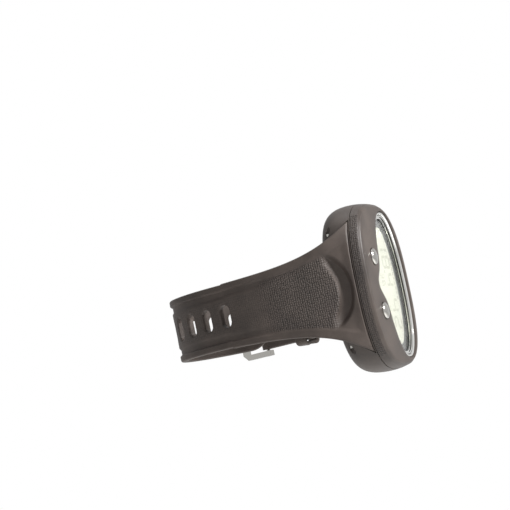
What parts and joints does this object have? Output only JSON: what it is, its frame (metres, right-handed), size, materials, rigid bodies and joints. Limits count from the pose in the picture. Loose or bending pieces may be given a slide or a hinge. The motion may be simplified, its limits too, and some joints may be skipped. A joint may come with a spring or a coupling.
{
  "type": "wrist dive computer",
  "caption": "Landscape wrist dive computer with an oval recessed display, domed push buttons and a flared rubber strap with slots and a buckle.",
  "frame": {"origin": "centre of the flat case back, on the back cover", "axes": "+Y out of the case back into the wrist, -Y out of the display, +Z along the forearm, +X towards 12 o'clock and the buckle strap"},
  "size_m": [0.0865, 0.1046, 0.075],
  "materials": {
    "strap_rubber": "moulded, pebble grain",
    "case_plastic": "fine spark grain",
    "seal": "smooth silicone",
    "black_nylon": "moulded",
    "polished_trim": "polished",
    "stainless": "polished",
    "brass": "stamped",
    "mineral_glass": "clear",
    "liquid_crystal": "satin polariser",
    "diffuser": "milky",
    "circuit_board": "solder mask"
  },
  "bodies": {
    "case": {"back_cover": "case_plastic", "back_gasket": "seal", "back_screw_1": "stainless", "back_screw_2": "stainless", "back_screw_3": "stainless", "back_screw_4": "stainless", "backlight_plate": "diffuser", "battery_cell": "stainless", "battery_contact_negative": "brass", "battery_contact_positive": "brass", "button_o_ring_1": "seal", "button_o_ring_2": "seal", "button_spring_1": "stainless", "button_spring_2": "stainless", "buzzer": "brass", "case_body": "case_plastic", "display_glass": "mineral_glass", "front_bezel": "case_plastic", "glass_gasket": "seal", "lcd_frame": "black_nylon", "lcd_panel": "liquid_crystal", "long_strap_root": "strap_rubber", "main_board": "circuit_board", "pressure_sensor": "stainless", "sensor_grille": "stainless", "short_strap_root": "strap_rubber", "strap_pin_long": "stainless", "strap_pin_short": "stainless", "tact_switch_1": "black_nylon", "tact_switch_2": "black_nylon", "trim_ring": "polished_trim", "zebra_strip_lower": "seal", "zebra_strip_upper": "seal"},
    "long_strap": {"long_strap_band": "strap_rubber"},
    "short_strap": {"short_strap_band": "strap_rubber", "buckle_pin": "stainless"},
    "buckle": {"buckle_frame": "stainless"},
    "tongue": {"buckle_tongue": "stainless"},
    "keeper": {"strap_keeper": "strap_rubber"},
    "button_1": {"button_cap_1": "stainless", "button_clip_1": "stainless"},
    "button_2": {"button_cap_2": "stainless", "button_clip_2": "stainless"},
    "cap_seal": {"battery_cap_o_ring": "seal"},
    "cap": {"battery_cap": "case_plastic"}
  },
  "joints": [
    {"name": "long_strap_flex", "type": "hinge", "parent": "case", "child": "long_strap", "pos_m": [-0.03376, 0.022, 0], "axis": [0, 0, 1], "range_deg": [0, 50], "stiffness_Nm_per_rad": 0.02},
    {"name": "short_strap_flex", "type": "hinge", "parent": "case", "child": "short_strap", "pos_m": [0.03343, 0.016, 0], "axis": [0, 0, -1], "range_deg": [0, 45], "stiffness_Nm_per_rad": 0.02},
    {"name": "buckle_swing", "type": "hinge", "parent": "short_strap", "child": "buckle", "pos_m": [0.04521, 0.05995, 0], "axis": [0, 0, -1], "range_deg": [-30, 45]},
    {"name": "tongue_swing", "type": "hinge", "parent": "buckle", "child": "tongue", "pos_m": [0.04521, 0.05995, 0], "axis": [0, 0, -1], "range_deg": [0, 45]},
    {"name": "keeper_slide", "type": "slide", "parent": "short_strap", "child": "keeper", "axis": [0.2588, 0.9659, 0], "range_m": [-0.008, 0.008]},
    {"name": "button_1_press", "type": "slide", "parent": "case", "child": "button_1", "axis": [0, 1, 0], "range_m": [0, 0.001], "stiffness_N_per_m": 600, "deforming": ["button_spring_1"]},
    {"name": "button_2_press", "type": "slide", "parent": "case", "child": "button_2", "axis": [0, 1, 0], "range_m": [0, 0.001], "stiffness_N_per_m": 600, "deforming": ["button_spring_2"]},
    {"name": "cap_lift", "type": "slide", "parent": "case", "child": "cap_seal", "axis": [0, 1, 0], "range_m": [0, 0.006]},
    {"name": "cap_turn", "type": "hinge", "parent": "cap_seal", "child": "cap", "pos_m": [0, 0, 0.0145], "axis": [0, 1, 0], "range_deg": [0, 60]}
  ]
}
